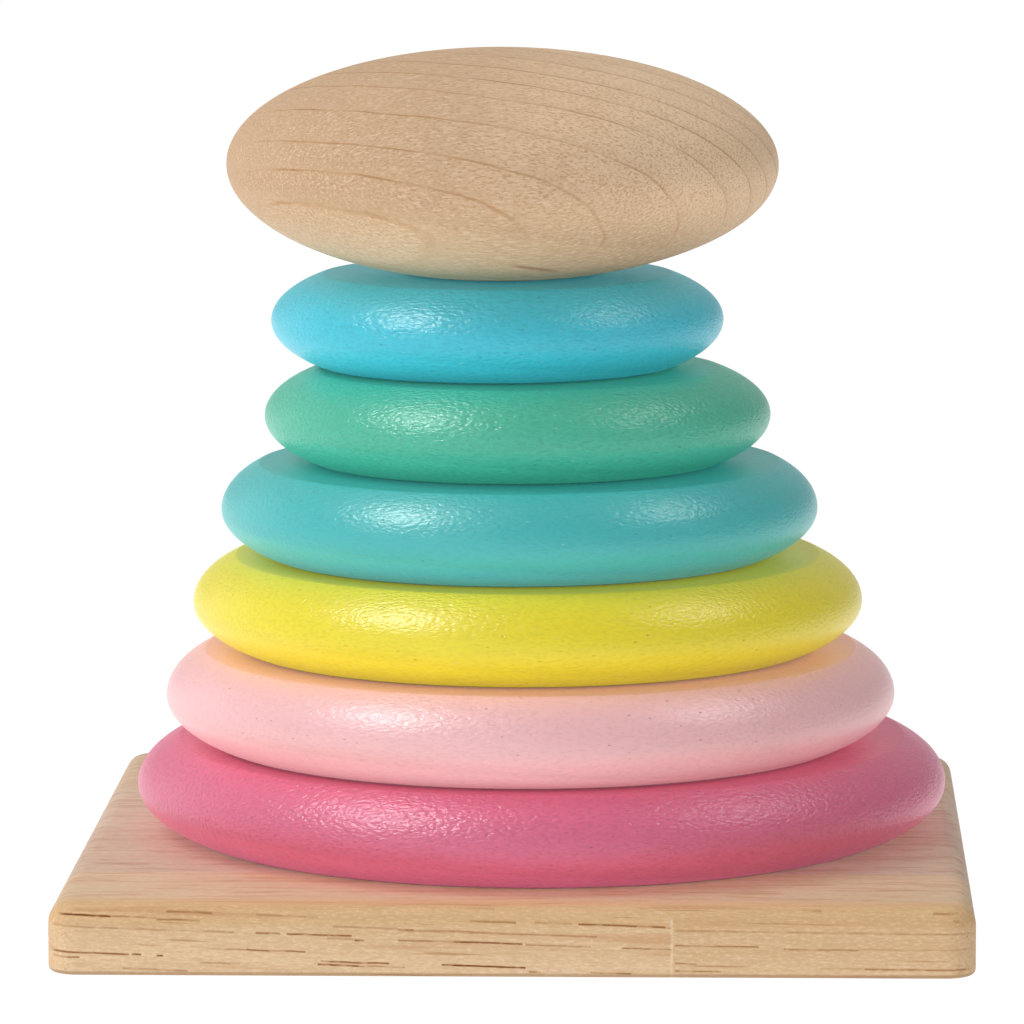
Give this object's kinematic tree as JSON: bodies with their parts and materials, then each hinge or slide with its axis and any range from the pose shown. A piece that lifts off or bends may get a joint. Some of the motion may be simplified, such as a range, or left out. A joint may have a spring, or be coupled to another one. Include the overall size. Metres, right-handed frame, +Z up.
{
  "type": "stacking cone",
  "caption": "Wooden stacking toy: painted rings of shrinking size and an oval wooden topper lift off a peg in a square board.",
  "frame": {"origin": "middle of the base board's underside", "axes": "+X to the right along the front edge, +Y to the back, +Z up along the peg"},
  "size_m": [0.15, 0.15, 0.1447],
  "materials": {
    "board_front_left": "oiled rubberwood",
    "board_front_right": "oiled rubberwood",
    "board_second": "oiled rubberwood",
    "board_third": "oiled rubberwood",
    "board_back": "oiled rubberwood",
    "peg_wood": "plain beech dowel",
    "magenta_paint": "semi-gloss water-based paint",
    "pink_paint": "semi-gloss water-based paint",
    "yellow_paint": "semi-gloss water-based paint",
    "teal_paint": "semi-gloss water-based paint",
    "green_paint": "semi-gloss water-based paint",
    "blue_paint": "semi-gloss water-based paint",
    "topper_wood": "clear-lacquered natural wood"
  },
  "bodies": {
    "base": {"front_left_stave": "board_front_left", "front_right_stave": "board_front_right", "second_stave": "board_second", "third_stave": "board_third", "back_stave": "board_back", "peg": "peg_wood"},
    "magenta": {"magenta_ring": "magenta_paint"},
    "pink": {"pink_ring": "pink_paint"},
    "yellow": {"yellow_ring": "yellow_paint"},
    "teal": {"teal_ring": "teal_paint"},
    "green": {"green_ring": "green_paint"},
    "blue": {"blue_ring": "blue_paint"},
    "topper": {"topper": "topper_wood"}
  },
  "joints": [
    {"name": "magenta_lift", "type": "slide", "parent": "base", "child": "magenta", "axis": [0, 0, 1], "range_m": [0, 0.114]},
    {"name": "pink_lift", "type": "slide", "parent": "magenta", "child": "pink", "axis": [0, 0, 1], "range_m": [0, 0.098]},
    {"name": "yellow_lift", "type": "slide", "parent": "pink", "child": "yellow", "axis": [0, 0, 1], "range_m": [0, 0.0825]},
    {"name": "teal_lift", "type": "slide", "parent": "yellow", "child": "teal", "axis": [0, 0, 1], "range_m": [0, 0.0665]},
    {"name": "green_lift", "type": "slide", "parent": "teal", "child": "green", "axis": [0, 0, 1], "range_m": [0, 0.0505]},
    {"name": "blue_lift", "type": "slide", "parent": "green", "child": "blue", "axis": [0, 0, 1], "range_m": [0, 0.035]},
    {"name": "topper_lift", "type": "slide", "parent": "blue", "child": "topper", "axis": [0, 0, 1], "range_m": [0, 0.019]}
  ]
}
